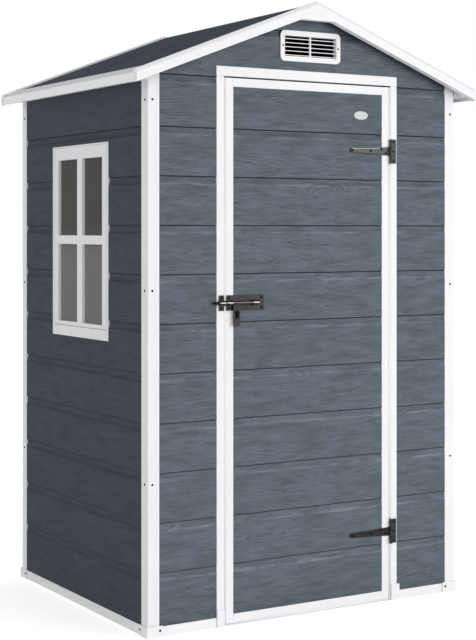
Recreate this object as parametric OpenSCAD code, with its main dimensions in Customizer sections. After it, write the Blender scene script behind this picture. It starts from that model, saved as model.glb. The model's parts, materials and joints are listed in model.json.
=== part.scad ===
// Plastic garden shed with a gable roof, a hinged board door and a side window.
// Origin: centre of the footprint on the ground. +Z is up and the door faces -Y.

/* [Body] */
// Width over the corner posts
shed_w = 1179; // [1120:1:1300]
// Depth over the corner posts
shed_l = 955; // [900:1:1300]
// Height of the wall panels beside the doorway
front_h = 1704; // [1600:1:1800]

/* [Walls] */
// Thickness of a wall panel
wall_t = 18; // [14:0.5:24]
// Height of one siding course
board_h = 150.25; // [146:0.25:154]
// Height of the lowest siding joint
joint_z = 192.5; // [180:0.5:200]
// Depth of the recess under a siding joint
lap_d = 5; // [3:0.25:5]
// Height of the cove under a siding joint
lap_h = 28; // [15:1:40]
// Height of the gable board over the doorway
gable_board_h = 159; // [150:1:165]

/* [Floor] */
// Height of the floor deck
deck_h = 28; // [22:1:32]
// Height of the floor ledge that the walls stand on
ledge_h = 12; // [8:1:16]
// Height of the threshold strip
threshold_h = 3; // [2:0.5:3.5]

/* [White trims] */
// Thickness of the trims over the edges of the wall panels
trim_t = 6.5; // [6:0.25:8]
// Width of a corner post on each face
post_w = 40; // [32:1:50]
// Radius of a corner post's outer edge
post_r = 3; // [1:0.5:5]
// Width of the raised bead along the edge of a trim
bead_w = 11; // [6:1:14]
// Height of the raised bead over the rest of the trim
bead_t = 1; // [0.5:0.25:1.5]
// Height of the base trims
base_h = 30; // [24:1:36]
// Height of the base corner caps
cap_h = 33; // [32:1:45]
// Length of a base corner cap on each face
cap_w = 52; // [50:1:70]
// Thickness of a base corner cap over the post
cap_t = 4; // [2:0.5:6]

/* [Doorway] */
// Clear width between the door jambs
door_gap_w = 643; // [600:1:680]
// Height of the white face of the head
head_h = 30.5; // [24:0.5:34]
// Width of the face of the left jamb
jamb_left_w = 27.5; // [24:0.5:36]
// Width of the face of the right jamb
jamb_right_w = 24; // [20:0.5:30]
// Height of the socket at the foot of each jamb
foot_h = 53; // [40:1:70]
// Thickness of the web of a jamb
web_t = 10; // [8:0.5:12]

/* [Door] */
// Gap between the door and the left jamb
gap_left = 6; // [6:0.5:8]
// Gap between the door and the right jamb
gap_right = 10; // [8:0.5:12]
// Gap over the door
gap_top = 5; // [5:0.5:8]
// Gap under the door
gap_bottom = 5; // [5:0.5:8]
// Width of the door's stiles and rails
stile_w = 27; // [20:0.5:36]
// Thickness of the door
door_t = 22; // [18:0.5:24]

/* [Hinges] */
// Length of a hinge strap from the pin to its tip
strap_l = 161; // [120:1:200]
// Height of a hinge strap at its root
strap_h = 29; // [22:1:34]
// Height of a hinge strap near its tip
strap_tip_h = 15; // [12:1:20]
// Thickness of the hinge metal
hinge_t = 2.5; // [2:0.25:3]
// Height of a hinge plate
plate_h = 80; // [60:1:110]
// Radius of a hinge pin
pin_r = 2.5; // [2:0.25:3]
// Radial clearance of a hinge pin in its knuckle
pin_gap = 0.4; // [0.2:0.05:0.5]
// Wall of a hinge knuckle
knuckle_t = 2; // [2:0.25:3]
// Height of the centre of the lower hinge
hinge_low_z = 230; // [180:1:300]
// Drop from the top of the wall panels to the centre of the upper hinge
hinge_drop = 215; // [160:1:300]

/* [Bolt] */
// Height of the bolt
bolt_z = 1002; // [900:1:1100]
// Length of the bolt's base plate
bolt_plate_l = 137; // [135:1:160]
// Height of the bolt's base plate and of its keeper
bolt_plate_h = 48; // [40:1:60]
// Radius of the bolt's rod
rod_r = 5; // [4:0.25:6]
// Travel of the bolt
bolt_travel = 50; // [44:1:52]
// Width of the keeper
keeper_w = 19; // [16:1:24]
// How far the shot rod stands out past the keeper
rod_out = 23; // [10:1:30]
// Length of a guide that holds the rod
guide_l = 16; // [12:1:18]
// Width of the padlock tab
tab_w = 24; // [20:1:28]
// Length of the padlock tab below the rod
tab_l = 72; // [50:1:90]
// Height of the padlock slot in the tab
slot_h = 22; // [14:1:26]
// Width of the padlock slot
slot_w = 9; // [7:0.5:10]

/* [Window] */
// Width of the window frame
window_w = 422; // [340:1:520]
// Height of the window frame
window_h = 631; // [500:1:700]
// Height of the bottom of the window frame
window_z = 877; // [800:1:950]
// Width of the frame's side members
window_stile_w = 44; // [34:1:60]
// Height of the frame's top member
window_top_h = 46; // [36:1:60]
// Height of the frame's bottom member
window_sill_h = 48; // [36:1:60]
// Width of the upright bar between the panes
mullion_w = 38; // [24:1:50]
// Height of the level bar between the panes
bar_h = 29; // [20:1:40]
// Height of the level bar's underside
bar_z = 1182; // [1150:1:1210]
// Depth of the panes behind the face of the frame
pane_d = 10; // [8:0.5:12]
// Thickness of a pane
pane_t = 3; // [2:0.5:4]

/* [Vent] */
// Width of the vent plate
vent_w = 230; // [222:1:260]
// Height of the vent plate
vent_h = 98; // [90:1:104]
// Rise from the top of the wall panels to the centre of the vent
vent_rise = 111; // [104:1:118]
// How far the vent plate stands out
vent_t = 3; // [2:0.5:5]
// Corner radius of the vent plate
vent_r = 16; // [6:1:24]
// Width of the louvred opening
louvre_w = 199; // [150:1:200]
// Height of the louvred opening
louvre_h = 65; // [56:1:72]
// Depth of the louvre behind the face of the trims
louvre_d = 16; // [14:0.5:20]
// Number of slats
slat_n = 5; // [3:1:6]
// Thickness of a slat
slat_t = 2.25; // [2:0.25:3]
// Tilt of the slats, in degrees
slat_tilt = 8; // [5:1:40]
// How far the slats sit below the middle of the louvred opening
slat_drop = 2; // [0:0.5:3]

/* [Roof] */
// Rise of the roof for each unit of run
roof_pitch = 0.385; // [0.36:0.005:0.42]
// Rise from the top of the wall panels to the plane of the roof trims at the eaves
eave_rise = 4; // [2:0.5:8]
// Thickness of a roof panel
roof_t = 20; // [16:0.5:24]
// Overhang of the roof at each eave
eave_out = 60; // [50:1:80]
// Overhang of the roof at the front and the rear
gable_out = 46; // [40:1:70]
// Height of the gable trim's face, square to the slope
fascia_h = 36; // [30:1:44]
// Width of the gable trim across its underside
fascia_w = 24; // [16:1:30]
// Bevel along the top of the gable trim
fascia_bevel = 10; // [4:1:12]
// Height of the gable trim above the roof panels
fascia_lip = 6; // [4:0.5:8]
// Half width of the level stretch under the peak of the gable trim
peak_w = 62; // [30:1:70]
// Height of the eave trim's upright face
eave_face_h = 27; // [16:1:30]
// Width of the eave trim's sloped nosing
nosing_w = 28; // [20:1:36]
// Width of the eave trim that lies on the roof panel
nosing_lap = 12; // [8:1:20]
// Width of the eave trim's soffit
soffit_w = 44; // [30:1:48]
// How far the soffit is set up behind the upright face
soffit_rise = 10; // [6:1:12]
// Thickness of the trims' flanges
flange_t = 3; // [2:0.5:4]

/* [Hidden] */
$fn = 48;

SLATE = "#5c666e";
SLATE_DARK = "#43484d";
WHITE = "#f2f2f4";
BLACK = "#1c1c1e";
GLASS = "#8a9088";
GREY = "#8d9194";

// Walls, as depths behind the outer plane of the trims
face_d = trim_t;
board_d = trim_t - lap_d - 0.5;
inner_d = trim_t + wall_t;
far = 3000;
cut = 1;
// Gap that keeps a sloped face from cutting into the one it lies on
seat = 0.1;

// Roof, with lengths square to the slope
roof_a = atan(roof_pitch);
roof_w = shed_w + 2 * eave_out;
roof_l = shed_l + 2 * gable_out;
roof_under = fascia_lip + roof_t;
panel_half = roof_w / 2 - nosing_w;
// Height of the roof's highest edge above the ground
ridge_h = front_h + eave_rise + roof_pitch * roof_w / 2;

// Doorway
opening_half = door_gap_w / 2;
jamb_left_x = -opening_half - jamb_left_w;
jamb_right_x = opening_half + jamb_right_w;
head_z = front_h + gap_top / 2;
head_web_z = head_z + web_t;
head_top_z = head_z + head_h;
lip_t = 4;
jamb_d = inner_d + lip_t;

// Door leaf, a panel held in the grooves of its frame
leaf_x0 = -opening_half + gap_left;
leaf_x1 = opening_half - gap_right;
leaf_z0 = threshold_h + gap_bottom;
leaf_z1 = head_z - gap_top;
core_t = 8;
door_back = door_t - 2;

// Hinges
hinge_high_z = front_h - hinge_drop;
knuckle_r = pin_r + pin_gap + knuckle_t;
knuckle_gap = 1;
hinge_x = leaf_x1 + gap_right / 2;
plate_margin = 4;
hinge_d = -knuckle_r - 0.5;
strap_root = strap_h / 2;
strap_tip = strap_tip_h / 2;

// Bolt
bolt_x0 = leaf_x0 + 0.5;
bolt_x1 = bolt_x0 + bolt_plate_l;
rod_gap = 0.5;
guide_t = 2.5;
guide_r = rod_r + rod_gap + guide_t;
rod_d = -hinge_t - guide_r;
keeper_x1 = -opening_half - 1.5;
keeper_x0 = keeper_x1 - keeper_w;
guide_x0 = bolt_x0;
// The tab hangs from a neck that stays clear of both guides over the bolt's travel
tab_gap = 5;
tab_x = guide_x0 + guide_l + tab_gap;
neck_w = tab_w / 2;
guide_x1 = tab_x + neck_w + bolt_travel + tab_gap;
guide_x2 = guide_x1 + 1.5 * guide_l;

// Vent
vent_z = front_h + vent_rise;

// The siding's joints, from the lowest up to a height
function joints_to(top) = [for (k = [0 : floor((top - joint_z) / board_h)]) joint_z + k * board_h];
// The cove that a board has under a joint, from its foot up to the joint
function cove(z) = [for (k = [4 : -1 : 0]) [board_d + lap_d * (1 - pow(k / 4, 2)), z - lap_h * k / 4]];
function flatten(lists) = [for (list = lists) each list];

// Places its child on a face of the shed: x runs along the face, y into the shed, z up
module on_face(turn, reach) {
    rotate([0, 0, turn])
        translate([0, -reach / 2, 0])
            children();
}
module on_front() { on_face(0, shed_l) children(); }
module on_rear() { on_face(180, shed_l) children(); }
module on_left() { on_face(-90, shed_w) children(); }
module on_right() { on_face(90, shed_w) children(); }

// Extrudes a [depth, height] outline along a face from x0 to x1
module along_face(x0, x1) {
    translate([x0, 0, 0])
        rotate([90, 0, 90])
            linear_extrude(x1 - x0)
                children();
}
// Extrudes an [x, height] outline into the shed from depth d0 to d1
module into_face(d0, d1) {
    translate([0, d1, 0])
        rotate([90, 0, 0])
            linear_extrude(d1 - d0)
                children();
}
// A block given by its two ends on each axis
module block(x0, x1, y0, y1, z0, z1) {
    translate([x0, y0, z0])
        cube([x1 - x0, y1 - y0, z1 - z0]);
}

// A wall panel: a plate that the trims hold by its edges, with lapped boards raised on it.
// Both are given as [x0, x1, z0, z1]; boards that end at a joint have a cove at their top.
module siding(plate, boards, joints, ends_at_joint = false, back = inner_d) {
    block(plate[0], plate[1], face_d, back, plate[2], plate[3]);
    along_face(boards[0], boards[1])
        polygon(concat(
            [[back, boards[2]], [board_d, boards[2]]],
            flatten([for (z = joints) concat(cove(z), [[board_d, z]])]),
            ends_at_joint ? cove(boards[3]) : [[board_d, boards[3]]],
            [[back, boards[3]]]
        ));
}
// The space under the roof panels
module under_roof() {
    half = roof_w;
    peak = ridge_h - roof_under / cos(roof_a) - seat;
    rotate([90, 0, 0])
        linear_extrude(far, center = true)
            polygon([[-half, -cut], [half, -cut], [half, peak - half * roof_pitch], [0, peak],
                [-half, peak - half * roof_pitch]]);
}

// Floor: a deck inside the walls, with a ledge under them
module floor_panel() {
    half_w = shed_w / 2;
    half_l = shed_l / 2;
    color(GREY)
    difference() {
        union() {
            block(-half_w + inner_d, half_w - inner_d, -half_l + inner_d, half_l - inner_d, 0, deck_h);
            difference() {
                block(-half_w + face_d, half_w - face_d, -half_l + face_d, half_l - face_d, 0, ledge_h);
                for (x = [-1, 1], y = [-1, 1])
                    translate([x * (half_w - inner_d / 2), y * (half_l - inner_d / 2), 0])
                        cube([inner_d, inner_d, far], center = true);
            }
        }
        block(jamb_left_x, jamb_right_x, -half_l - cut, -half_l + jamb_d, -cut, far);
    }
}
module threshold() {
    color(WHITE)
    on_front()
        block(-opening_half, opening_half, 0, jamb_d, 0, threshold_h);
}

// Base trims: strips in front of the foot of each wall, with a sloped top edge
module base_strip(x0, x1) {
    along_face(x0, x1)
        polygon([[0, 0], [face_d, 0], [face_d, base_h], [bead_t, base_h], [0, base_h - 2 * bead_t]]);
}
module base_trim_left() {
    color(WHITE) on_left() base_strip(-shed_l / 2 + post_w, shed_l / 2 - post_w);
}
module base_trim_right() {
    color(WHITE) on_right() base_strip(-shed_l / 2 + post_w, shed_l / 2 - post_w);
}
module base_trim_rear() {
    color(WHITE) on_rear() base_strip(-shed_w / 2 + post_w, shed_w / 2 - post_w);
}
module base_trim_front_left() {
    color(WHITE) on_front() base_strip(-shed_w / 2 + post_w, jamb_left_x);
}
module base_trim_front_right() {
    color(WHITE) on_front() base_strip(jamb_right_x, shed_w / 2 - post_w);
}

// Corner cap: an L wrapped round the foot of a corner post
module base_corner(x, y) {
    color(WHITE)
    translate([x * shed_w / 2, y * shed_l / 2, 0])
        scale([-x, -y, 1])
            linear_extrude(cap_h)
                difference() {
                    translate([-cap_t, -cap_t]) square(cap_w + cap_t);
                    square(cap_w + cut);
                }
}
module base_corner_front_left() { base_corner(-1, -1); }
module base_corner_front_right() { base_corner(1, -1); }
module base_corner_rear_left() { base_corner(-1, 1); }
module base_corner_rear_right() { base_corner(1, 1); }

// Corner post: an L over the ends of two panels, with a square core between them
function arc(cx, cy, r, a0, a1, n) = [for (k = [0 : n]) let (a = a0 + (a1 - a0) * k / n)
    [cx + r * cos(a), cy + r * sin(a)]];
module corner_post(x, y) {
    edge = bead_t + post_r;
    color(WHITE)
    intersection() {
        translate([x * shed_w / 2, y * shed_l / 2, 0])
            scale([-x, -y, 1])
                linear_extrude(ridge_h)
                    polygon(concat(
                        arc(edge, edge, post_r, 180, 270, 4),
                        [[post_w - bead_w, bead_t], [post_w - bead_w + bead_t, 0], [post_w, 0],
                            [post_w, face_d], [inner_d, face_d], [inner_d, inner_d], [face_d, inner_d],
                            [face_d, post_w], [0, post_w], [0, post_w - bead_w + bead_t],
                            [bead_t, post_w - bead_w]]
                    ));
        under_roof();
    }
}
module corner_post_front_left() { corner_post(-1, -1); }
module corner_post_front_right() { corner_post(1, -1); }
module corner_post_rear_left() { corner_post(-1, 1); }
module corner_post_rear_right() { corner_post(1, 1); }

// Front wall: a panel on each side of the doorway and one over it
front_joints = [for (z = joints_to(front_h - lap_h)) if (z < front_h - 1.5 * lap_h) z];
module front_wall_left() {
    color(SLATE)
    on_front()
        siding([-shed_w / 2 + inner_d, -opening_half - web_t, ledge_h, front_h],
            [-shed_w / 2 + post_w, jamb_left_x, base_h, front_h], front_joints, true);
}
module front_wall_right() {
    color(SLATE)
    on_front()
        siding([opening_half + web_t, shed_w / 2 - inner_d, ledge_h, front_h],
            [jamb_right_x, shed_w / 2 - post_w, base_h, front_h], front_joints, true);
}
module front_gable() {
    color(SLATE)
    intersection() {
        on_front()
            difference() {
                siding([-shed_w / 2 + inner_d, shed_w / 2 - inner_d, front_h, ridge_h],
                    [-shed_w / 2 + post_w, shed_w / 2 - post_w, front_h, ridge_h],
                    [front_h + gable_board_h]);
                block(jamb_left_x, jamb_right_x, -cut, face_d, 0, head_top_z);
                block(jamb_left_x, jamb_right_x, 0, inner_d + cut, 0, head_web_z);
                translate([0, 0, vent_z])
                    into_face(-cut, inner_d + cut)
                        square([louvre_w + 2 * flange_t, louvre_h + 2 * flange_t], center = true);
            }
        under_roof();
    }
}
// Rear wall: one panel up to the roof
module rear_wall() {
    color(SLATE)
    intersection() {
        on_rear()
            siding([-shed_w / 2 + inner_d, shed_w / 2 - inner_d, ledge_h, ridge_h],
                [-shed_w / 2 + post_w, shed_w / 2 - post_w, base_h, ridge_h],
                concat(front_joints, [front_h, front_h + gable_board_h]));
        under_roof();
    }
}
// Side walls: their tops follow the slope of the roof
side_joints = joints_to(front_h - 2 * lap_h);
module side_panel() {
    siding([-shed_l / 2 + inner_d, shed_l / 2 - inner_d, ledge_h, ridge_h],
        [-shed_l / 2 + post_w, shed_l / 2 - post_w, base_h, ridge_h], side_joints);
}
module left_wall() {
    color(SLATE)
    intersection() {
        on_left()
            difference() {
                side_panel();
                into_face(-cut, face_d) window_outline();
                into_face(-cut, inner_d + cut) window_hole();
            }
        under_roof();
    }
}
module right_wall() {
    color(SLATE)
    intersection() {
        on_right() side_panel();
        under_roof();
    }
}

// Jambs and head: channels that hold the edges of the panels round the doorway
module channel(face_w) {
    // Across [width, depth]: the web is at width 0 to web_t and the face reaches face_w
    polygon([[0, 0], [face_w, 0], [face_w, face_d], [web_t, face_d], [web_t, inner_d],
        [face_w, inner_d], [face_w, jamb_d], [0, jamb_d]]);
}
module door_jamb_left() {
    color(WHITE)
    on_front()
        translate([-opening_half, 0, 0])
            mirror([1, 0, 0])
                union() {
                    linear_extrude(head_z) channel(jamb_left_w);
                    block(0, jamb_left_w - bead_t, -cap_t, 0, 0, foot_h);
                }
}
module door_jamb_right() {
    color(WHITE)
    on_front()
        translate([opening_half, 0, 0])
            union() {
                linear_extrude(head_z) channel(jamb_right_w);
                block(0, jamb_right_w + web_t - bead_t, -cap_t, 0, 0, foot_h);
            }
}
module door_head() {
    color(WHITE)
    on_front()
        along_face(jamb_left_x, jamb_right_x)
            polygon([[0, head_z], [jamb_d, head_z], [jamb_d, head_top_z], [inner_d, head_top_z],
                [inner_d, head_web_z], [face_d, head_web_z], [face_d, head_top_z], [0, head_top_z]]);
}

// Window: a fixed frame of four panes
window_inset = 14;
pane_x0 = mullion_w / 2;
pane_x1 = window_w / 2 - window_stile_w;
lower_z0 = window_z + window_sill_h;
upper_z0 = bar_z + bar_h;
upper_z1 = window_z + window_h - window_top_h;
module window_outline() {
    translate([-window_w / 2, window_z])
        square([window_w, window_h]);
}
module window_hole() {
    translate([-window_w / 2 + window_inset, window_z + window_inset])
        square([window_w - 2 * window_inset, window_h - 2 * window_inset]);
}
module pane_outlines() {
    for (side = [0, 1])
        mirror([side, 0]) {
            translate([pane_x0, lower_z0]) square([pane_x1 - pane_x0, bar_z - lower_z0]);
            translate([pane_x0, upper_z0]) square([pane_x1 - pane_x0, upper_z1 - upper_z0]);
        }
}
module window_frame() {
    color(WHITE)
    on_left()
        difference() {
            union() {
                into_face(0, face_d) window_outline();
                into_face(0, inner_d) window_hole();
            }
            into_face(-cut, inner_d + cut) pane_outlines();
        }
}
module window_panes() {
    color(GLASS)
    on_left()
        into_face(pane_d, pane_d + pane_t) pane_outlines();
}

// Vent: a rounded plate over the louvred hole in the gable
module rounded_plate(w, h, r) {
    square([w - 2 * r, h], center = true);
    square([w, h - 2 * r], center = true);
    for (x = [-1, 1], y = [-1, 1])
        translate([x * (w / 2 - r), y * (h / 2 - r)])
            circle(r);
}
module front_vent() {
    slat_pitch = louvre_h / slat_n;
    color(WHITE)
    on_front()
        translate([0, 0, vent_z])
            union() {
                difference() {
                    union() {
                        into_face(-vent_t, board_d) rounded_plate(vent_w, vent_h, vent_r);
                        into_face(0, louvre_d)
                            square([louvre_w + 2 * flange_t, louvre_h + 2 * flange_t], center = true);
                    }
                    into_face(-vent_t - cut, inner_d + cut) square([louvre_w, louvre_h], center = true);
                }
                intersection() {
                    for (k = [0 : slat_n - 1])
                        translate([0, louvre_d / 2, (k - (slat_n - 1) / 2) * slat_pitch - slat_drop])
                            rotate([slat_tilt, 0, 0])
                                cube([louvre_w + flange_t, louvre_d, slat_t], center = true);
                    block(-far, far, 0, louvre_d, -louvre_h / 2 - cut, louvre_h / 2 + cut);
                }
                block(-slat_t, slat_t, 0, face_d, -louvre_h / 2 - cut, louvre_h / 2 + cut);
            }
}

// Roof members lie in a frame with x down the slope from the ridge and z square to it
module on_slope(side) {
    mirror([side < 0 ? 1 : 0, 0, 0])
        intersection() {
            translate([0, 0, ridge_h])
                rotate([0, roof_a, 0])
                    children();
            block(0, roof_w / 2, -far, far, 0, far);
        }
}
module roof_panel(side) {
    color(SLATE_DARK)
    intersection() {
        on_slope(side)
            block(-far, far, -roof_l / 2 + fascia_bevel, roof_l / 2 - fascia_bevel, -roof_under, -fascia_lip);
        block(-panel_half, panel_half, -far, far, 0, far);
    }
}
module roof_panel_left() { roof_panel(-1); }
module roof_panel_right() { roof_panel(1); }

// Gable trim: a channel over the ends of the roof panels, level under the peak
module along_gable(side) {
    on_slope(side)
        rotate([90, 0, 90])
            linear_extrude(2 * far, center = true)
                translate([-roof_l / 2, 0])
                    children();
}
module gable_channel() {
    inner_n = -fascia_bevel - flange_t;
    peak_z = ridge_h - fascia_h / cos(roof_a);
    for (side = [-1, 1]) {
        along_gable(side)
            polygon([[0, -fascia_h], [fascia_w, -fascia_h], [fascia_w, -fascia_h + flange_t],
                [flange_t, -fascia_h + flange_t], [flange_t, inner_n], [fascia_bevel, inner_n],
                [fascia_bevel, -fascia_lip], [fascia_w, -fascia_lip], [fascia_w, 0],
                [fascia_bevel, 0], [0, -fascia_bevel]]);
        // Plate that closes the channel at the eave
        intersection() {
            along_gable(side)
                polygon([[0, -fascia_h], [fascia_w, -fascia_h], [fascia_w, 0], [fascia_bevel, 0],
                    [0, -fascia_bevel]]);
            translate([side * (roof_w - flange_t) / 2, 0, 0])
                cube([flange_t, 2 * far, 2 * far], center = true);
        }
    }
    // Gusset under the peak, with a level flange along its foot
    gusset_z = peak_z - peak_w * roof_pitch;
    translate([0, -roof_l / 2 + flange_t, 0])
        rotate([90, 0, 0])
            linear_extrude(flange_t)
                polygon([[-peak_w, gusset_z], [peak_w, gusset_z], [0, peak_z + flange_t]]);
    block(-peak_w, peak_w, -roof_l / 2, -roof_l / 2 + fascia_w, gusset_z, gusset_z + flange_t);
}
module gable_trim_front() { color(WHITE) gable_channel(); }
module gable_trim_rear() { color(WHITE) rotate([0, 0, 180]) gable_channel(); }

// Eave trim: a nosing over the lower edge of a roof panel, with a soffit and closed ends
module eave_trim(side) {
    x_out = roof_w / 2;
    x_in = x_out - soffit_w;
    x_lap = panel_half - nosing_lap;
    trim_l = roof_l - 2 * fascia_w;
    roof_z = ridge_h - fascia_lip / cos(roof_a);
    z_lap = roof_z - x_lap * roof_pitch;
    z_edge = roof_z - panel_half * roof_pitch;
    under_z = z_edge - roof_t / cos(roof_a) - seat;
    crease_z = ridge_h - x_out * roof_pitch - 1.5 * fascia_lip - bead_t;
    foot_z = crease_z - eave_face_h;
    soffit_z = foot_z + soffit_rise;
    color(WHITE)
    mirror([side < 0 ? 1 : 0, 0, 0])
        union() {
            into_face(-trim_l / 2, trim_l / 2)
                polygon([[x_lap, z_lap + seat], [panel_half, z_edge + seat],
                    [panel_half, z_edge - flange_t], [x_out - flange_t, crease_z - flange_t],
                    [x_out - flange_t, soffit_z + flange_t], [x_in, soffit_z + flange_t],
                    [x_in, soffit_z], [x_out - flange_t, soffit_z], [x_out - flange_t, foot_z],
                    [x_out, foot_z], [x_out, crease_z], [x_lap, z_lap + fascia_lip - bead_t]]);
            for (end = [-1, 1])
                into_face(end * (trim_l - flange_t) / 2 - flange_t / 2,
                    end * (trim_l - flange_t) / 2 + flange_t / 2)
                    polygon([[x_in, soffit_z], [x_out - flange_t, soffit_z],
                        [x_out - flange_t, crease_z - flange_t], [panel_half, z_edge - flange_t],
                        [panel_half, under_z], [x_in, under_z + (panel_half - x_in) * roof_pitch]]);
        }
}
module eave_trim_left() { eave_trim(-1); }
module eave_trim_right() { eave_trim(1); }

// Door leaf: a siding panel held in a white frame
module door_panel() {
    color(SLATE)
    on_front()
        siding([leaf_x0 + core_t, leaf_x1 - core_t, leaf_z0 + core_t, leaf_z1 - core_t],
            [leaf_x0 + stile_w, leaf_x1 - stile_w, leaf_z0 + stile_w, leaf_z1 - stile_w],
            side_joints, false, door_back);
}
// A member of the door's frame, across [width, depth], grooved for the panel
module door_channel() {
    polygon([[0, 0], [stile_w, 0], [stile_w, face_d], [core_t, face_d], [core_t, door_back],
        [stile_w, door_back], [stile_w, door_t], [0, door_t]]);
}
module door_stile_left() {
    color(WHITE)
    on_front()
        translate([leaf_x0, 0, leaf_z0])
            linear_extrude(leaf_z1 - leaf_z0)
                door_channel();
}
module door_stile_right() {
    color(WHITE)
    on_front()
        translate([leaf_x1, 0, leaf_z0])
            mirror([1, 0, 0])
                linear_extrude(leaf_z1 - leaf_z0)
                    door_channel();
}
// Rails run between the stiles
module door_rail() {
    translate([leaf_x0 + stile_w, 0, 0])
        rotate([90, 0, 90])
            linear_extrude(leaf_x1 - leaf_x0 - 2 * stile_w)
                children();
}
module rail_outline() {
    polygon([[0, 0], [door_t, 0], [door_t, stile_w], [door_back, stile_w], [door_back, core_t],
        [face_d, core_t], [face_d, stile_w], [0, stile_w]]);
}
module door_rail_top() {
    color(WHITE)
    on_front()
        door_rail()
            translate([0, leaf_z1]) mirror([0, 1]) rail_outline();
}
module door_rail_bottom() {
    color(WHITE)
    on_front()
        door_rail()
            translate([0, leaf_z0]) rail_outline();
}

// T hinges: a plate on the jamb with the pin, and a strap on the door that turns on it
module hinge_plate(z) {
    color(BLACK)
    on_front()
        translate([hinge_x, 0, z])
            union() {
                difference() {
                    block(0, jamb_right_x - plate_margin - hinge_x, -hinge_t, 0, -plate_h / 2, plate_h / 2);
                    block(-cut, knuckle_r + knuckle_gap, -far, cut,
                        -strap_h / 2 - knuckle_gap, strap_h / 2 + knuckle_gap);
                }
                for (end = [-1, 1])
                    plate_knuckle(end * (plate_h / 2 + strap_h / 2 + knuckle_gap) / 2,
                        (plate_h - strap_h) / 2 - knuckle_gap);
                translate([0, hinge_d, 0])
                    cylinder(r = pin_r, h = plate_h, center = true);
            }
}
// A knuckle of the hinge plate with the leaf that joins it to the plate
module plate_knuckle(z, h) {
    translate([0, hinge_d, z])
        cylinder(r = knuckle_r, h = h, center = true);
    block(0, knuckle_r, hinge_d, 0, z - h / 2, z + h / 2);
}
module hinge_strap(z) {
    color(BLACK)
    on_front()
        translate([hinge_x, 0, z])
            difference() {
                union() {
                    into_face(-hinge_t, 0) {
                        polygon([[-2 * knuckle_gap, -strap_root], [-2 * knuckle_gap, strap_root],
                            [-strap_l / 2, strap_tip + 2 * knuckle_gap],
                            [-strap_l + strap_tip, strap_tip], [-strap_l + strap_tip, -strap_tip],
                            [-strap_l / 2, -strap_tip - 2 * knuckle_gap]]);
                        translate([-strap_l + strap_tip, 0]) circle(strap_tip);
                    }
                    translate([0, hinge_d, 0])
                        cylinder(r = knuckle_r, h = strap_h, center = true);
                    block(-knuckle_r, 0, hinge_d, 0, -strap_root, strap_root);
                }
                translate([0, hinge_d, 0])
                    cylinder(r = pin_r + pin_gap, h = strap_h + cut, center = true);
            }
}
module hinge_plate_top() { hinge_plate(hinge_high_z); }
module hinge_plate_bottom() { hinge_plate(hinge_low_z); }
module hinge_strap_top() { hinge_strap(hinge_high_z); }
module hinge_strap_bottom() { hinge_strap(hinge_low_z); }

// Barrel bolt: guides on the door, a keeper on the jamb and a rod that slides through them
module guide(x0, x1) {
    translate([x0, 0, bolt_z])
        rotate([90, 0, 90])
            linear_extrude(x1 - x0)
                difference() {
                    union() {
                        translate([rod_d, 0]) circle(guide_r);
                        translate([rod_d, -guide_r]) square([-rod_d, 2 * guide_r]);
                    }
                    translate([rod_d, 0]) circle(rod_r + rod_gap);
                }
}
module bolt_base(x0, x1) {
    block(x0, x1, -hinge_t, 0, bolt_z - bolt_plate_h / 2, bolt_z + bolt_plate_h / 2);
}
module bolt_plate() {
    color(BLACK)
    on_front()
        union() {
            bolt_base(bolt_x0, bolt_x1);
            guide(guide_x0, guide_x0 + guide_l);
            guide(guide_x1, guide_x2);
        }
}
module bolt_keeper() {
    color(BLACK)
    on_front()
        union() {
            bolt_base(keeper_x0, keeper_x1);
            guide(keeper_x0, keeper_x1 - bead_t);
        }
}
module bolt_rod() {
    rod_x0 = keeper_x0 - rod_out;
    neck_l = bolt_plate_h / 2;
    color(BLACK)
    on_front()
        translate([0, rod_d, bolt_z])
            union() {
                translate([rod_x0, 0, 0])
                    rotate([0, 90, 0])
                        cylinder(r = rod_r, h = guide_x2 + bead_t - rod_x0);
                into_face(-hinge_t / 2, hinge_t / 2)
                    translate([tab_x, 0])
                        difference() {
                            polygon([[0, 0], [0, -tab_l], [tab_w, -tab_l], [tab_w, -neck_l / 2],
                                [neck_w, -neck_l / 2], [neck_w, 0]]);
                            for (end = [-1, 1])
                                translate([neck_w, -tab_l / 2 + end * (slot_h - slot_w) / 2])
                                    circle(slot_w / 2);
                            translate([neck_w, -tab_l / 2])
                                square([slot_w, slot_h - slot_w], center = true);
                        }
            }
}

floor_panel();
threshold();
base_trim_left();
base_trim_right();
base_trim_rear();
base_trim_front_left();
base_trim_front_right();
base_corner_front_left();
base_corner_front_right();
base_corner_rear_left();
base_corner_rear_right();
front_wall_left();
front_wall_right();
front_gable();
rear_wall();
left_wall();
right_wall();
corner_post_front_left();
corner_post_front_right();
corner_post_rear_left();
corner_post_rear_right();
door_jamb_left();
door_jamb_right();
door_head();
window_frame();
window_panes();
front_vent();
roof_panel_left();
roof_panel_right();
gable_trim_front();
gable_trim_rear();
eave_trim_left();
eave_trim_right();
hinge_plate_top();
hinge_plate_bottom();
bolt_keeper();
door_panel();
door_stile_left();
door_stile_right();
door_rail_top();
door_rail_bottom();
hinge_strap_top();
hinge_strap_bottom();
bolt_plate();
bolt_rod();
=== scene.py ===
import json
import math

import bmesh
import bpy
from mathutils import Matrix, Vector


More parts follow.
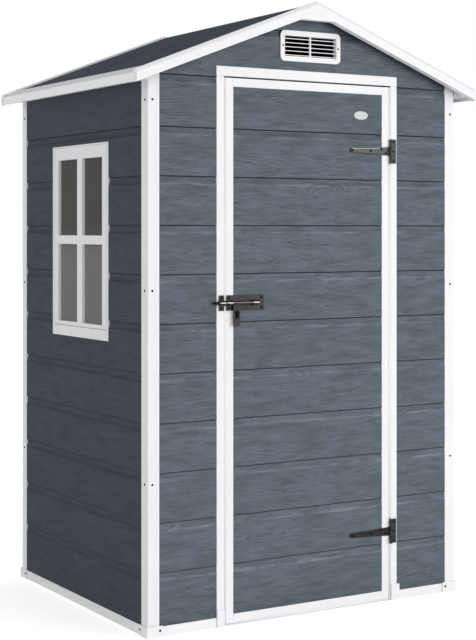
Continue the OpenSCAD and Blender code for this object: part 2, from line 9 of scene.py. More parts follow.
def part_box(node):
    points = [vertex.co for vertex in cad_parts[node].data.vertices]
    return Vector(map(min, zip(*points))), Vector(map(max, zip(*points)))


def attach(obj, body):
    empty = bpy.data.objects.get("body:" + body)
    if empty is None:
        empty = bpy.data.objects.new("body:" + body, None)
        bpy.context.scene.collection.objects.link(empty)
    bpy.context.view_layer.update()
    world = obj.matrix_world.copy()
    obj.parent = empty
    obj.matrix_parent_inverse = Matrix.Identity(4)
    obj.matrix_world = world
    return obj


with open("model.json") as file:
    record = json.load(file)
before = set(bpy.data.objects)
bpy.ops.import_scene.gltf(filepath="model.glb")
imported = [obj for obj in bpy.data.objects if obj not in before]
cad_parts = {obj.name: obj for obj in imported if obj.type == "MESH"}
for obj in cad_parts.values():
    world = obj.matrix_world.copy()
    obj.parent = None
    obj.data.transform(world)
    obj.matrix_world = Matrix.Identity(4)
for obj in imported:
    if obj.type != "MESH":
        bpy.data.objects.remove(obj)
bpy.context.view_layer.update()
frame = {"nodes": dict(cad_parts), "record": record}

MM = 0.001
post_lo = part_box("corner_post_front_left")[0]
FRONT, REAR = post_lo.y, -post_lo.y                   # outer planes of the front and rear trims
RIGHT = -post_lo.x                                    # outer plane of the right trims
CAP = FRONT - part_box("base_corner_front_left")[0].y   # how far the base's corner caps stand out
SIDING_JOINT, BOARD = 0.1925, 0.15025                 # lowest joint and course of the walls' boards
GABLE_JOINT, GABLE_BOARD = 1.704, 0.159               # the same for the boards over the doorway
GABLE_FROM = SIDING_JOINT + 9.01 * BOARD              # above this height the boards are the gable's
ROOF_PITCH = 0.385                                    # rise of the roof per unit of width
BAR_LO, BAR_HI = 1.182, 1.211                         # bar between the upper and the lower panes
PLATE_FACE = -2.5 * MM                                # face of the hinges and bolt plates, from FRONT
bolt_lo, bolt_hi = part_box("bolt_plate")
BOLT_Z = (bolt_lo.z + bolt_hi.z) / 2                  # axis of the bolt's rod
BOLT_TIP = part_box("bolt_rod")[0].x                    # its free end


# ---------------------------------------------------------------- materials
class Graph:
    """The node tree of a material or a world, with a short call for each kind of node."""

    def __init__(self, owner, output="ShaderNodeOutputMaterial"):
        owner.use_nodes = True
        self.owner = owner
        self.tree = owner.node_tree
        self.tree.nodes.clear()
        self.output = self.node(output)

    def put(self, socket, value):
        if isinstance(value, bpy.types.NodeSocket):
            self.tree.links.new(value, socket)
        else:
            socket.default_value = value

    def node(self, kind, inputs=(), **settings):
        n = self.tree.nodes.new(kind)
        for key, value in settings.items():
            setattr(n, key, value)
        for key, value in dict(inputs).items():
            self.put(n.inputs[key], value)
        return n

    def position(self):
        return self.node("ShaderNodeTexCoord").outputs["Object"]

    def facing(self):
        return self.node("ShaderNodeTexCoord").outputs["Normal"]

    def vector(self, x, y, z):
        return self.node("ShaderNodeCombineXYZ", {0: x, 1: y, 2: z}).outputs[0]

    def split(self, vector):
        return self.node("ShaderNodeSeparateXYZ", {0: vector}).outputs[0:3]

    def math(self, operation, a, b=0.0, c=0.0):
        return self.node("ShaderNodeMath", {0: a, 1: b, 2: c}, operation=operation).outputs[0]

    def times(self, product, *factors):
        for factor in factors:
            product = self.math("MULTIPLY", product, factor)
        return product

    def plus(self, base, value, amount=1.0):
        """base + value * amount"""
        return self.math("MULTIPLY_ADD", value, amount, base)

    def swing(self, base, value, amount):
        """base + (value - 0.5) * amount, for a noise that varies about its middle"""
        return self.plus(base, self.math("SUBTRACT", value, 0.5), amount)

    def pick(self, test, off, on):
        """off where test is 0, on where it is 1"""
        return self.plus(off, test, self.math("SUBTRACT", on, off))

    def distance(self, value, middle):
        return self.math("ABSOLUTE", self.math("SUBTRACT", value, middle))

    def ramp(self, value, lo, hi, to_lo=0.0, to_hi=1.0):
        """value from lo..hi mapped smoothly to to_lo..to_hi"""
        return self.node(
            "ShaderNodeMapRange",
            {"Value": value, "From Min": lo, "From Max": hi, "To Min": to_lo, "To Max": to_hi},
            interpolation_type="SMOOTHSTEP",
        ).outputs[0]

    def fall(self, value, lo, hi):
        """1 up to lo, smoothly down to 0 at hi"""
        return self.ramp(value, lo, hi, 1.0, 0.0)

    def band(self, value, a, b, c, d):
        """0 up to a, 1 from b to c, 0 again from d"""
        return self.times(self.ramp(value, a, b), self.fall(value, c, d))

    def noise(self, vector, scale=1.0, detail=2.0, roughness=0.5):
        return self.node(
            "ShaderNodeTexNoise",
            {"Vector": vector, "Scale": scale, "Detail": detail, "Roughness": roughness},
        ).outputs["Fac"]

    def mix(self, factor, a, b):
        n = self.node("ShaderNodeMix", data_type="RGBA")
        self.put(n.inputs["Factor"], factor)
        for key, colour in (("A", a), ("B", b)):
            linked = isinstance(colour, bpy.types.NodeSocket)
            self.put(n.inputs[key], colour if linked else (*colour, 1.0))
        return n.outputs["Result"]

    def bump(self, height, strength, distance):
        return self.node(
            "ShaderNodeBump", {"Height": height, "Strength": strength, "Distance": distance}
        ).outputs[0]

    def surface(self, **inputs):
        names = {key.replace("_", " "): value for key, value in inputs.items()}
        bsdf = self.node("ShaderNodeBsdfPrincipled", names)
        self.put(self.output.inputs["Surface"], bsdf.outputs[0])
        return self.owner


def material_graph(name):
    return Graph(bpy.data.materials.new(name))


def linear(r, g, b):
    """Linear colour from 8-bit sRGB."""
    return tuple(
        c / 12.92 if c <= 0.04045 else ((c + 0.055) / 1.055) ** 2.4
        for c in (r / 255, g / 255, b / 255)
    )


def siding_material():
    """Grey boards with a moulded wood grain, in the courses of the walls and of the gable."""
    g = material_graph("siding")
    x, y, z = g.split(g.position())
    low = g.math("DIVIDE", g.math("SUBTRACT", z, SIDING_JOINT), BOARD)
    high = g.math("DIVIDE", g.math("SUBTRACT", z, GABLE_JOINT), GABLE_BOARD)
    course = g.pick(g.math("GREATER_THAN", z, GABLE_FROM), low, high)
    row = g.math("FLOOR", course)
    # How far below the top of its board a point lies, as a share of the board
    row_top = g.math("SUBTRACT", 1.0, g.math("SUBTRACT", course, row))
    # Each row of boards has its own tone and its own stretch of grain
    luck = g.node("ShaderNodeTexWhiteNoise", {"W": row}, noise_dimensions="1D").outputs["Value"]
    run = g.plus(g.math("ADD", x, y), luck, 17.0)

    def grain(along, up, detail=2.0, roughness=0.5, layer=0.0):
        """Noise with its own scale along the boards and up them."""
        return g.noise(g.vector(g.times(run, along), layer, g.times(z, up)), 1.0, detail, roughness)

    # The rings flow round knots and in long arches
    knot_at = g.vector(g.times(run, 2.3), 0.0, g.times(course, 0.9))
    knot = g.node("ShaderNodeTexVoronoi", {"Vector": knot_at, "Scale": 1.0}).outputs["Distance"]
    phase = g.times(z, 480.0)
    phase = g.plus(phase, grain(1.9, 13.0), 95.0)
    phase = g.plus(phase, grain(15.0, 40.0), 6.0)
    phase = g.plus(phase, g.fall(knot, 0.0, 0.34), 30.0)
    figured = g.ramp(grain(3.1, 15.0, layer=1.7), 0.42, 0.62)
    ring = g.times(g.ramp(g.math("SINE", phase), -0.4, 1.0), figured)
    fibre = grain(16.0, 330.0, 3.0, 0.6)
    cloud = grain(8.0, 42.0, 4.0, 0.6)
    pore = g.ramp(grain(24.0, 210.0, layer=3.1), 0.58, 0.76)
    speck = g.noise(g.position(), 900.0, 2.0)
    height = g.plus(g.times(fibre, 0.8), ring, 0.55)
    height = g.plus(height, speck, 0.15)
    height = g.plus(height, pore, -0.5)
    tone = g.swing(0.5, cloud, 2.3)
    tone = g.plus(tone, ring, 0.42)
    tone = g.swing(tone, fibre, 1.1)
    tone = g.plus(tone, pore, -0.95)
    # Painted light: the grain's tone is painted crisper on the front and rear, where the light picks it
    # out, and calmer on the sides
    facing = g.split(g.facing())
    side = g.math("GREATER_THAN", g.math("ABSOLUTE", facing[0]), g.math("ABSOLUTE", facing[1]))
    tone = g.swing(0.5, tone, g.plus(1.3, side, -0.8))
    colour = g.mix(tone, linear(48, 53, 62), linear(78, 85, 95))
    shade = g.plus(0.872, luck, 0.045)
    # Painted highlight and shade: the foot of each board's top slope is painted lighter on the front
    # and rear, with a painted glint, and duller on the sides, where the boards are also painted a
    # little darker
    slope_foot = g.band(row_top, 0.105, 0.145, 0.165, 0.21)
    slope_top = g.band(row_top, 0.015, 0.03, 0.17, 0.21)
    glint = g.band(row_top, 0.142, 0.158, 0.172, 0.19)
    painted_sheen_front = g.plus(g.plus(g.times(slope_top, 0.14), slope_foot, 0.5), glint, 0.5)
    painted_shade_side = g.plus(-0.055, slope_foot, -0.2)
    shade = g.times(shade, g.math("ADD", g.pick(side, painted_sheen_front, painted_shade_side), 1.0))
    # Painted shade: the boards on the sides are painted a little bluer
    painted_side_blue = g.times(shade, g.plus(1.0, side, 0.06))
    colour = g.node("ShaderNodeVectorMath", {0: colour, 1: g.vector(shade, shade, painted_side_blue)},
                    operation="MULTIPLY").outputs[0]
    # Painted shade: a dark line where a board tucks under the one above, weaker on the sides, but not
    # at the base
    tuck_shade = g.times(g.fall(row_top, 0.012, 0.034), g.plus(1.0, side, -0.7),
                   g.math("GREATER_THAN", z, 0.06))
    colour = g.mix(tuck_shade, colour, linear(16, 23, 28))
    return g.surface(
        Base_Color=colour, Roughness=g.plus(g.ramp(fibre, 0.3, 0.7, 0.5, 0.4), tuck_shade, 0.45),
        Specular_IOR_Level=0.75, Specular_Tint=(0.83, 1.0, 1.1, 1.0),
        Normal=g.bump(height, 0.45, 0.0012),
    )


def white_material(name, painted_lift=0, edge=None):
    """White plastic, whiter by a lift of painted light. With an edge it is the eaves': painted light
    makes it whitest outside |x| = edge, painted shade greys the nosing inside.
    """
    g = material_graph(name)
    p = g.position()
    x, y, z = g.split(p)
    streak = g.noise(g.vector(g.times(x, 160.0), g.times(y, 160.0), g.times(z, 5.0)), 1.0, 3.0, 0.6)
    peel = g.noise(p, 420.0, 3.0)
    cloud = g.noise(p, 6.0, 2.0)
    # The lift whitens it as painted light
    colour = g.mix(g.swing(cloud, streak, 0.8), linear(232 + painted_lift, 232 + painted_lift, 235 + painted_lift),
                   linear(242 + painted_lift, 242 + painted_lift, 244 + painted_lift))
    # Painted light on the eaves' outer face, painted shade on the nosing inside it
    if edge:
        painted_lit_face = g.math("GREATER_THAN", g.math("ABSOLUTE", x), edge)
        colour = g.mix(painted_lit_face, linear(229, 229, 232), linear(246, 246, 248))
    height = g.plus(g.times(peel, 0.5), streak, 0.5)
    return g.surface(
        Base_Color=colour, Roughness=g.ramp(peel, 0.3, 0.7, 0.5, 0.4), Specular_IOR_Level=0.4,
        Normal=g.bump(height, 0.25, 0.0004),
    )


def roof_material():
    g = material_graph("roof")
    p = g.position()
    x, y = g.split(p)[0:2]
    streak = g.noise(g.vector(g.times(x, 9.0), g.times(y, 120.0), 0.0), 1.0, 3.0)
    grit = g.noise(p, 520.0, 3.0)
    cloud = g.noise(p, 7.0, 3.0)
    tone = g.swing(g.swing(cloud, streak, 0.5), grit, 0.5)
    return g.surface(
        Base_Color=g.mix(tone, linear(62, 70, 82), linear(80, 91, 105)),
        Roughness=g.ramp(grit, 0.3, 0.7, 0.8, 0.65), Specular_IOR_Level=0.2,
        Normal=g.bump(g.plus(grit, streak, 0.4), 0.35, 0.0006),
    )


def floor_material():
    g = material_graph("floor_deck")
    p = g.position()
    grit = g.noise(p, 300.0, 3.0)
    cloud = g.noise(p, 5.0, 4.0, 0.6)
    colour = g.mix(g.swing(cloud, grit, 0.4), linear(116, 120, 124), linear(142, 146, 150))
    return g.surface(Base_Color=colour, Roughness=0.65, Normal=g.bump(grit, 0.4, 0.0008))


def upper_strap_painted_light(g, x, z, colour):
    """The upper hinge's strap: painted sheen makes it greyer, a painted highlight runs along its upper
    edge, and painted shade darkens its tip and lower edge.
    """
    on_strap = g.times(g.math("GREATER_THAN", z, BOLT_Z + 0.1), g.fall(x, 0.300, 0.304))
    # Painted sheen: the strap is painted greyer, warmer towards its tip
    sheen_grey = g.mix(g.ramp(x, 0.20, 0.27), linear(84, 79, 74), linear(76, 79, 79))
    colour = g.mix(on_strap, colour, sheen_grey)
    strap_lo, strap_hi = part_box("hinge_strap_top")
    above = g.math("SUBTRACT", z, (strap_lo.z + strap_hi.z) / 2)
    # Half its height grows from its tip past its bend to its root
    tip, bend, root = 0.163, 0.236, 0.312
    half = g.math("ADD", g.ramp(x, tip, bend, 7.5 * MM, 9.5 * MM), g.ramp(x, bend, root, 0.0, 5.0 * MM))
    # Painted shade along the lower edge and at the tip
    painted_strap_shade = g.math("MAXIMUM", g.fall(g.math("ADD", above, half), 1.6 * MM, 2.4 * MM),
                  g.fall(x, 0.159, 0.164))
    colour = g.mix(g.times(on_strap, painted_strap_shade), colour, linear(34, 34, 34))
    # Painted highlight along the upper edge
    painted_strap_highlight = g.times(g.ramp(g.math("SUBTRACT", above, half), -3.6 * MM, -2.8 * MM),
                     g.band(x, 0.161, 0.163, 0.27, 0.29))
    return g.mix(g.times(on_strap, painted_strap_highlight), colour, linear(142, 140, 136))


def rod_painted_highlight(g, x, z, before, colour):
    """A painted highlight along the bolt's rod, dimmer in its middle, with a break near its tip."""
    line = g.times(g.fall(g.distance(z, BOLT_Z + 1.2 * MM), 1.2 * MM, 1.8 * MM), before)
    line = g.times(line, g.ramp(x, BOLT_TIP + 18 * MM, BOLT_TIP + 24 * MM))
    line = g.times(line, g.ramp(g.distance(x, BOLT_TIP + 43.5 * MM), 2.0 * MM, 3.2 * MM))
    middle = g.band(x, *(BOLT_TIP + d * MM for d in (64, 70, 134, 146)))
    return g.mix(line, colour, g.mix(middle, linear(245, 244, 243), linear(140, 130, 130)))


def metal_material():
    """Black metal, with painted sheen, highlights and shade in places."""
    g = material_graph("black_metal")
    p = g.position()
    x, y, z = g.split(p)
    grit = g.noise(p, 650.0, 3.0, 0.6)
    cloud = g.noise(p, 28.0, 3.0)
    colour = g.mix(cloud, linear(38, 35, 35), linear(50, 47, 46))
    colour = upper_strap_painted_light(g, x, z, colour)
    # Painted shade: the lower hinge is painted the blackest
    lower = g.math("LESS_THAN", z, BOLT_Z - 0.2)
    colour = g.mix(g.times(lower, 0.9), colour, linear(3, 2, 3))
    # Painted sheen: the leaves screwed to the frame are painted greyer than the lower strap, the upper
    # leaf the more so
    leaf = g.ramp(x, 0.3065, 0.3085)
    colour = g.mix(leaf, colour, g.mix(lower, linear(66, 65, 66), linear(37, 36, 37)))
    # The rod is blacker than the plates
    before = g.fall(y, FRONT - 4.5 * MM, FRONT - 3.5 * MM)
    rod = g.times(g.fall(g.distance(z, BOLT_Z), 4.8 * MM, 5.4 * MM), before)
    colour = g.mix(rod, colour, linear(10, 8, 8))
    colour = rod_painted_highlight(g, x, z, before, colour)
    return g.surface(
        Base_Color=colour, Metallic=g.plus(0.2, rod, -0.2),
        Roughness=g.ramp(cloud, 0.3, 0.7, 0.34, 0.22), Specular_IOR_Level=0.3,
        Normal=g.bump(grit, 0.3, 0.0003),
    )


def screw_material():
    g = material_graph("screw_black")
    grit = g.noise(g.position(), 900.0, 2.0)
    return g.surface(
        Base_Color=g.mix(grit, linear(4, 4, 5), linear(12, 12, 13)), Roughness=0.7,
        Specular_IOR_Level=0.12, Normal=g.bump(grit, 0.2, 0.0002),
    )


def pane_material():
    """Dull panes: dark above the bar, and paler in the lower ones."""
    g = material_graph("pane")
    p = g.position()
    z = g.split(p)[2]
    cloud = g.noise(p, 9.0, 3.0)
    colour = g.mix(g.fall(z, 1.16, 1.24), linear(68, 67, 63), linear(118, 117, 115))
    colour = g.mix(g.times(cloud, 0.3), colour, linear(88, 90, 84))
    ripple = g.noise(p, 14.0, 1.0)
    return g.surface(Base_Color=colour, Roughness=0.3, IOR=1.45, Normal=g.bump(ripple, 0.05, 0.002))


def seal_material(name, dark, light):
    g = material_graph(name)
    grit = g.noise(g.position(), 500.0, 3.0)
    return g.surface(
        Base_Color=g.mix(grit, dark, light), Roughness=0.6, Normal=g.bump(grit, 0.3, 0.0004),
    )


MATERIALS = {
    "siding": siding_material(),
    "roof": roof_material(),
    "floor": floor_material(),
    "white_trim": white_material("white_trim"),
    "black_metal": metal_material(),
    "pane": pane_material(),
}
WHITE = MATERIALS["white_trim"]
SCREW = screw_material()
SEAL = seal_material("seal", linear(245, 245, 248), linear(251, 251, 253))
OVAL = seal_material("oval", linear(196, 202, 203), linear(209, 214, 215))
# The eaves' white, with painted light on the outer face and painted shade on the nosing
EAVE = white_material("white_eave", edge=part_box("eave_trim_right")[1].x - 1.6 * MM)
# The base's white, painted a little lighter as painted light
BASE = white_material("white_base", painted_lift=2)
# White nodes whose white carries painted light or shade, by how their names start
PAINTED_LIGHT_WHITES = {"eave_trim": EAVE, "base_trim": BASE, "base_corner": BASE}


# ---------------------------------------------------------------- CAD nodes
BEVELS = {"white_trim": 1.2 * MM, "black_metal": 0.9 * MM}


def soften(obj, width):
    """Rounds an object's sharp edges with modifiers, which leave its mesh as it is."""
    weld = obj.modifiers.new("weld", "WELD")
    weld.merge_threshold = 0.02 * MM
    bevel = obj.modifiers.new("bevel", "BEVEL")
    bevel.width = width
    bevel.segments = 2
    bevel.limit_method = "ANGLE"
    bevel.angle_limit = math.radians(35)
    bevel.use_clamp_overlap = True
    bevel.harden_normals = True


for part in frame["record"]["subparts"]:
    obj, slot = frame["nodes"][part["node"]], part["material_slot"]
    # A white with painted light or shade, where the node's name asks for one
    own = [white for start, white in PAINTED_LIGHT_WHITES.items() if part["node"].startswith(start)]
    obj.data.materials.clear()
    obj.data.materials.append(own[0] if own else MATERIALS[slot])
    if slot in BEVELS:
        soften(obj, BEVELS[slot])


# ---------------------------------------------------------------- pieces
def link(name, data):
    obj = bpy.data.objects.new(name, data)
    bpy.context.scene.collection.objects.link(obj)
    return obj


def new_piece(name, bm, material, body, smooth=True):
    mesh = bpy.data.meshes.new(name)
    bmesh.ops.recalc_face_normals(bm, faces=bm.faces)
    bm.to_mesh(mesh)
    bm.free()
    for face in mesh.polygons:
        face.use_smooth = smooth
    obj = link(name, mesh)
    mesh.materials.append(material)
    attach(obj, body)
    return obj


def place(origin, normal):
    """Matrix that puts a shape drawn in XY, with +Z outwards, on a face with that outward normal."""
    z = Vector(normal).normalized()
    x = Vector((0, 0, 1)).cross(z)
    x = x.normalized() if x.length > 0.01 else Vector((1, 0, 0))
    m = Matrix((x, z.cross(x), z)).transposed().to_4x4()
    m.translation = Vector(origin)
    return m


def turn(steps):
    """The angles of that many steps round a full turn."""
    return [2 * math.pi * k / steps for k in range(steps)]


def add_band(bm, a, b):
    """Faces between two rings of vertices."""
    n = len(a)
    for k in range(n):
        bm.faces.new((a[k], a[(k + 1) % n], b[(k + 1) % n], b[k]))


def add_shell(bm, rings):
    """A closed shell through rings of points, from its back to its front."""
    rows = [[bm.verts.new(point) for point in ring] for ring in rings]
    for a, b in zip(rows, rows[1:]):
        add_band(bm, a, b)
    bm.faces.new(rows[-1])
    bm.faces.new(list(reversed(rows[0])))


# (radius, height, whether the ring follows the four lobes of the cross recess)
HEAD_RINGS = ((1.0, -0.3, False), (1.0, 0.25, False), (0.93, 0.62, False), (0.75, 0.9, False),
              (0.62, 1.0, False), (0.44, 1.0, True), (0.40, 0.55, True), (0.2, 0.45, True))


def screws(name, body, places, head):
    """Pan-head screws, each a closed shell on an origin and a normal. head is (radius, height)."""
    radius, height = head
    bm = bmesh.new()
    for origin, normal in places:
        matrix = place(origin, normal)
        rings = []
        for r, h, lobed in HEAD_RINGS:
            ring = []
            for a in turn(32):
                size = r * (1 + 0.42 * math.cos(4 * a)) if lobed else r
                ring.append(matrix @ Vector((
                    radius * size * math.cos(a), radius * size * math.sin(a), height * h)))
            rings.append(ring)
        add_shell(bm, rings)
    new_piece(name, bm, SCREW, body)


def on_plate(x, z):
    """Origin and normal of a screw on a hinge or bolt plate."""
    return (x, FRONT + PLATE_FACE, z), (0, -1, 0)


# Screw heads, as (radius, height)
POST_HEAD = (3.5 * MM, 1.7 * MM)
VENT_HEAD = (3.0 * MM, 1.3 * MM)
FITTING_HEAD = (3.7 * MM, 1.3 * MM)

# Screws through the corner posts and the base's corner caps, on both faces of each: how far in
# from the corner, how deep their heads are sunk in the posts, and their heights
IN_FRONT, IN_SIDE, IN_CAP, SUNK = 17 * MM, 20 * MM, 41 * MM, 1.0 * MM
POST_SCREWS_Z, CAP_SCREW_Z = (0.460, 1.045, 1.6225), 0.019
for sx, sy, name in ((-1, -1, "front_left"), (1, -1, "front_right"),
                     (-1, 1, "rear_left"), (1, 1, "rear_right")):
    spots = []
    for z in POST_SCREWS_Z:
        spots.append(((sx * (RIGHT - IN_FRONT), sy * (REAR - SUNK), z), (0, sy, 0)))
        spots.append(((sx * (RIGHT - SUNK), sy * (REAR - IN_SIDE), z), (sx, 0, 0)))
    spots.append(((sx * (RIGHT - IN_CAP), sy * (REAR + CAP), CAP_SCREW_Z), (0, sy, 0)))
    spots.append(((sx * (RIGHT + CAP), sy * (REAR - IN_CAP), CAP_SCREW_Z), (sx, 0, 0)))
    screws(f"screws_post_{name}", "shed", spots, POST_HEAD)

# Vent screws, one beside each end of its slats
VENT_SCREW_X = 0.106
vent_lo, vent_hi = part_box("front_vent")
screws("screws_vent", "shed",
       [((side * VENT_SCREW_X, vent_lo.y, (vent_lo.z + vent_hi.z) / 2), (0, -1, 0))
        for side in (-1, 1)], VENT_HEAD)

# Hinge screws: along each strap as (x, height from its middle), and up each plate
STRAP_SCREWS = ((0.1645, 0), (0.2375, 0), (0.2800, 7 * MM), (0.2980, -6 * MM))
for end in ("top", "bottom"):
    strap_lo, strap_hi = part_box(f"hinge_strap_{end}")
    middle = (strap_lo.z + strap_hi.z) / 2
    plate_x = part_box(f"hinge_plate_{end}")[1].x - 11 * MM
    screws(f"screws_strap_{end}", "door",
           [on_plate(x, middle + dz) for x, dz in STRAP_SCREWS], FITTING_HEAD)
    screws(f"screws_plate_{end}", "shed",
           [on_plate(plate_x, middle + dz * MM) for dz in (-31, 0, 31)], FITTING_HEAD)

# Bolt screws
keep_lo, keep_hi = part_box("bolt_keeper")
screws("screws_bolt", "door",
       [on_plate(x, BOLT_Z + dz * MM) for dz in (-16, 16)
        for x in (bolt_lo.x + 9 * MM, bolt_hi.x - 10 * MM)], FITTING_HEAD)
screws("screws_keeper", "shed",
       [on_plate((keep_lo.x + keep_hi.x) / 2, BOLT_Z + dz * MM) for dz in (-16, 16)], FITTING_HEAD)


# Plain oval plate on the door
def oval_plate():
    half_w, half_h = 28 * MM, 14 * MM
    matrix = place((0.1990, FRONT + 1.0 * MM, 1.604), (0, -1, 0))
    # (inset from the rim, height) in mm: a raised rim and a face that bulges a little
    profile = ((0, 0), (0, 1.4), (0.8, 2.2), (2.2, 2.4), (3.2, 2.1), (3.8, 1.5), (6, 1.4),
               (9, 1.7), (12, 1.9))
    bm = bmesh.new()
    add_shell(bm, [[
        matrix @ Vector(((half_w - inset * MM) * math.cos(a), (half_h - inset * MM) * math.sin(a),
                         height * MM)) for a in turn(64)] for inset, height in profile])
    new_piece("oval_plate", bm, OVAL, "door")


oval_plate()


def plate_grid(ys, zs, holes, x_back, x_front):
    """A plate on a left-hand face: a closed shell of the cells between ys and zs, less the holes."""
    bm = bmesh.new()
    grid = {(i, j, k): bm.verts.new((x, y, z)) for i, y in enumerate(ys) for j, z in enumerate(zs)
            for k, x in enumerate((x_back, x_front))}
    solid = {(i, j) for i in range(len(ys) - 1) for j in range(len(zs) - 1)} - set(holes)
    for i, j in sorted(solid):
        for k in (0, 1):
            bm.faces.new([grid[a, b, k] for a, b in ((i, j), (i + 1, j), (i + 1, j + 1), (i, j + 1))])
        sides = {(-1, 0): ((i, j), (i, j + 1)), (1, 0): ((i + 1, j), (i + 1, j + 1)),
                 (0, -1): ((i, j), (i + 1, j)), (0, 1): ((i, j + 1), (i + 1, j + 1))}
        for (di, dj), (a, b) in sides.items():
            if (i + di, j + dj) not in solid:
                bm.faces.new([grid[(*a, 0)], grid[(*b, 0)], grid[(*b, 1)], grid[(*a, 1)]])
    for vert in [v for v in bm.verts if not v.link_faces]:
        bm.verts.remove(vert)
    return bm


# Rim, gasket and sash that stand a little proud on the fixed window frame
def window_dressing():
    frame_lo, frame_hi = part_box("window_frame")
    pane_lo, pane_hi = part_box("window_panes")
    x = frame_lo.x
    mid = (pane_lo.y + pane_hi.y) / 2
    # The rim's inner edges
    y_lo, y_hi = frame_lo.y + 12 * MM, frame_hi.y - 12 * MM
    z_lo, z_hi = pane_lo.z - 14 * MM, frame_hi.z - 5 * MM
    rim = plate_grid([frame_lo.y, y_lo, y_hi, frame_hi.y], [frame_lo.z, z_lo, z_hi, frame_hi.z],
                     [(1, 1)], x + 0.5 * MM, x - 0.8 * MM)
    gasket = plate_grid(
        [y_lo - 2 * MM, pane_lo.y - 15 * MM, pane_hi.y + 15 * MM, y_hi + 2 * MM],
        [z_lo - 2 * MM, pane_lo.z - 6 * MM, pane_hi.z + 12 * MM, z_hi + 2 * MM],
        [(1, 1)], x + 0.4 * MM, x - 0.2 * MM)
    sash = plate_grid(
        [y_lo + 1.4 * MM, pane_lo.y - 1 * MM, mid - 18 * MM, mid + 18 * MM, pane_hi.y + 1 * MM,
         y_hi - 1.4 * MM],
        [z_lo + 1.3 * MM, pane_lo.z - 1 * MM, BAR_LO + 1 * MM, BAR_HI - 1 * MM, pane_hi.z + 1 * MM,
         z_hi - 0.6 * MM],
        [(1, 1), (3, 1), (1, 3), (3, 3)], x + 0.5 * MM, x - 0.8 * MM)
    soften(new_piece("window_rim", rim, WHITE, "shed", smooth=False), 0.3 * MM)
    new_piece("window_gasket", gasket, SCREW, "shed", smooth=False)
    soften(new_piece("window_sash", sash, WHITE, "shed", smooth=False), 0.3 * MM)


window_dressing()


def add_prism(bm, outline, y0, y1, side):
    """An outline in XZ drawn out from y0 to y1, on the right (side 1) or the left (side -1)."""
    rows = [[bm.verts.new((side * x, y, z)) for x, z in outline] for y in (y0, y1)]
    add_band(bm, *rows)
    bm.faces.new(rows[0])
    bm.faces.new(rows[1])


# Boards that close the eaves between the wall and the soffit, with a stop at each end
def eave_filler(name, side):
    trim_lo, trim_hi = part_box("eave_trim_right")
    roof_lo, roof_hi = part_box("roof_panel_right")
    wall, inner, soffit, t = RIGHT - 0.3 * MM, trim_lo.x + 0.1 * MM, trim_lo.z + 10 * MM, 1.5 * MM

    def under(x):
        return roof_lo.z + (roof_hi.x - x) * ROOF_PITCH - 0.3 * MM

    bm = bmesh.new()
    add_prism(bm, [(wall, soffit), (inner - t, soffit), (inner - t, soffit + t), (wall, soffit + t)],
              t - REAR, REAR - t, side)
    for end in (-1, 1):
        add_prism(bm, [(wall, soffit), (inner - t, soffit), (inner - t, under(inner)),
                       (wall, under(wall))], end * (REAR - t), end * REAR, side)
        add_prism(bm, [(inner - t, soffit), (inner, soffit), (inner, under(inner)),
                       (inner - t, under(inner))], end * (REAR - t), end * trim_hi.y, side)
    new_piece(name, bm, WHITE, "shed", smooth=False)


eave_filler("eave_filler_right", 1)
eave_filler("eave_filler_left", -1)


# Black bush in the padlock slot of the bolt's tab
def slot_bush():
    x, z = BOLT_TIP + 83 * MM, BOLT_Z - 36 * MM
    reach, steps = 6.5 * MM, 16
    outline = [(side, start + math.pi * k / steps)
               for start, side in ((0, 1), (math.pi, -1)) for k in range(steps + 1)]
    # (radius of the ends, depth) in mm, from the back of the plug to the front of the flange
    profile = ((3.8, 8.1), (4.35, 8.6), (4.35, 11.9), (6.6, 11.9), (6.6, 12.9), (6.0, 13.5))
    bm = bmesh.new()
    add_shell(bm, [[
        (x + radius * MM * math.cos(a), FRONT - depth * MM,
         z + side * reach + radius * MM * math.sin(a)) for side, a in outline]
        for radius, depth in profile])
    new_piece("slot_bush", bm, SCREW, "bolt", smooth=False)


slot_bush()


# Soft strips that close the gaps beside and under the door
def strip(name, body, xs, ys, zs):
    bm = bmesh.new()
    bmesh.ops.create_cube(bm, size=1.0)
    for v in bm.verts:
        v.co = Vector([lo + (c + 0.5) * (hi - lo) for c, (lo, hi) in zip(v.co, (xs, ys, zs))])
    bmesh.ops.bevel(bm, geom=list(bm.edges), offset=0.8 * MM, segments=2, affect="EDGES",
                    clamp_overlap=True)
    new_piece(name, bm, SEAL, body)


leaf_lo, leaf_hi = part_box("door_stile_left")[0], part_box("door_stile_right")[1]
jamb_l, jamb_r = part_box("door_jamb_left")[1].x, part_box("door_jamb_right")[0].x
strip("seal_left", "shed", (jamb_l, leaf_lo.x - 0.5 * MM),
      (FRONT + 0.1 * MM, FRONT + 8 * MM), (4 * MM, leaf_hi.z))
strip("seal_right", "shed", (leaf_hi.x + 1.2 * MM, jamb_r),
      (FRONT + 0.9 * MM, FRONT + 8 * MM), (4 * MM, leaf_hi.z))
strip("seal_bottom", "door", (leaf_lo.x + 1 * MM, leaf_hi.x - 1 * MM),
      (FRONT + 0.4 * MM, FRONT + 6 * MM), (3.4 * MM, leaf_lo.z))


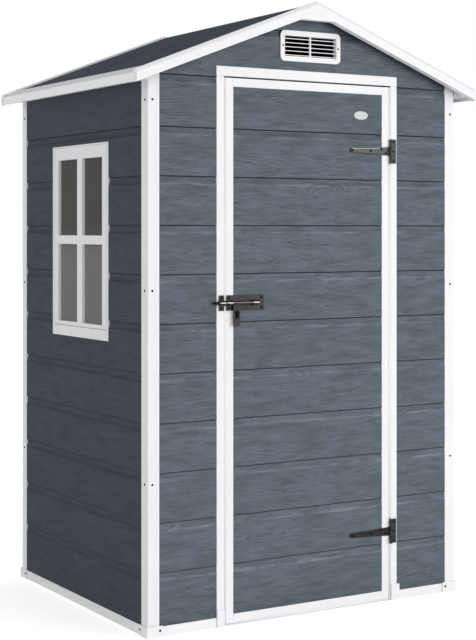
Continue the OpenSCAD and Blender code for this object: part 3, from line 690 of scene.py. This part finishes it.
# ---------------------------------------------------------------- stage
def stage_floor():
    """A pale floor, which also throws some light up at the foot of the front."""
    bm = bmesh.new()
    bmesh.ops.create_grid(bm, x_segments=1, y_segments=1, size=40)
    mesh = bpy.data.meshes.new("stage_floor")
    bm.to_mesh(mesh)
    bm.free()
    obj = link("stage_floor", mesh)
    obj.location.z = -0.5 * MM
    g = material_graph("stage_floor")
    path = g.node("ShaderNodeLightPath").outputs
    camera_ray, mirrored = path["Is Camera Ray"], path["Is Glossy Ray"]
    tone = g.mix(mirrored, (0.78, 0.78, 0.78), (0.25, 0.25, 0.25))
    diffuse = g.node("ShaderNodeBsdfDiffuse", {"Color": tone}).outputs[0]
    # The floor before the door is the brighter one in reflections, most of all close to it
    x, y = g.split(g.position())[0:2]
    before = g.times(g.ramp(y, -0.68, -0.48, 1.4, 0.0), g.ramp(y, -4.5, -1.0, 0.5, 1.0))
    # What it throws up fades out away from the shed, beside it and under it
    unseen = g.math("SUBTRACT", 1.0, g.math("MAXIMUM", camera_ray, mirrored))
    thrown = g.times(g.ramp(y, -2.2, -1.2, 0.0, 0.24), g.ramp(x, -0.75, -0.55))
    thrown = g.times(thrown, unseen, g.times(g.fall(y, -0.5, -0.45), g.ramp(x, -0.4, 0.8, 1.0, 0.2)))
    strength = g.plus(g.plus(0.06, camera_ray, 0.49), mirrored, before)
    strength = g.math("ADD", strength, thrown)
    glow = g.node("ShaderNodeEmission", {"Color": (1, 1, 1, 1), "Strength": strength}).outputs[0]
    both = g.node("ShaderNodeAddShader", {0: diffuse, 1: glow}).outputs[0]
    g.put(g.output.inputs["Surface"], both)
    mesh.materials.append(g.owner)


stage_floor()


def studio_world():
    """White to the camera and through glass; softer, and dimmer overhead, as a light."""
    world = bpy.data.worlds.new("studio")
    bpy.context.scene.world = world
    g = Graph(world, "ShaderNodeOutputWorld")
    path = g.node("ShaderNodeLightPath").outputs
    white = g.math("MAXIMUM", path["Is Camera Ray"], path["Is Transmission Ray"])
    height = g.split(g.node("ShaderNodeTexCoord").outputs["Generated"])[2]
    ambient = g.ramp(height, 0.0, 1.0, 1.13, 0.58)
    mirrored = g.ramp(height, 0.0, 0.6, 0.3, 0.03)
    strength = g.pick(path["Is Glossy Ray"], ambient, mirrored)
    strength = g.pick(white, strength, 1.0)
    sky = g.node("ShaderNodeBackground", {"Color": (1, 1, 1, 1), "Strength": strength}).outputs[0]
    g.put(g.output.inputs["Surface"], sky)


studio_world()


def area_light(name, location, target, size, energy):
    light = bpy.data.lights.new(name, "AREA")
    light.shape = "RECTANGLE"
    light.size, light.size_y = size
    light.energy = energy
    obj = link(name, light)
    obj.location = location
    obj.rotation_euler = (Vector(target) - Vector(location)).to_track_quat("-Z", "Y").to_euler()


# The key stands where the front wall mirrors it to the camera, and gives the boards their sheen
area_light("key", location=(3.45, -6.40, 1.75), target=(0, -0.4, 0.9), size=(5.6, 3.0), energy=113)
# The top light finds the sloped foot of the cove under each joint
area_light("top", location=(3.1, -5.2, 5.3), target=(0, -0.4, 1.0), size=(2.8, 1.6), energy=42)


# ---------------------------------------------------------------- camera
# A level camera before the front's left corner, turned by degrees about Z, with its view shifted down
CAMERA_AT, CAMERA_TURN = (-2.701, -4.494, 1.227), -31.167
cam_data = bpy.data.cameras.new("camera")
cam_data.sensor_width, cam_data.lens, cam_data.shift_y = 36, 84.75, -0.1398
cam_data.clip_start, cam_data.clip_end = 0.1, 200
camera = link("camera", cam_data)
camera.location = CAMERA_AT
camera.rotation_euler = (math.radians(90), 0, math.radians(CAMERA_TURN))
bpy.context.scene.camera = camera
bpy.context.scene.view_settings.view_transform = "Standard"
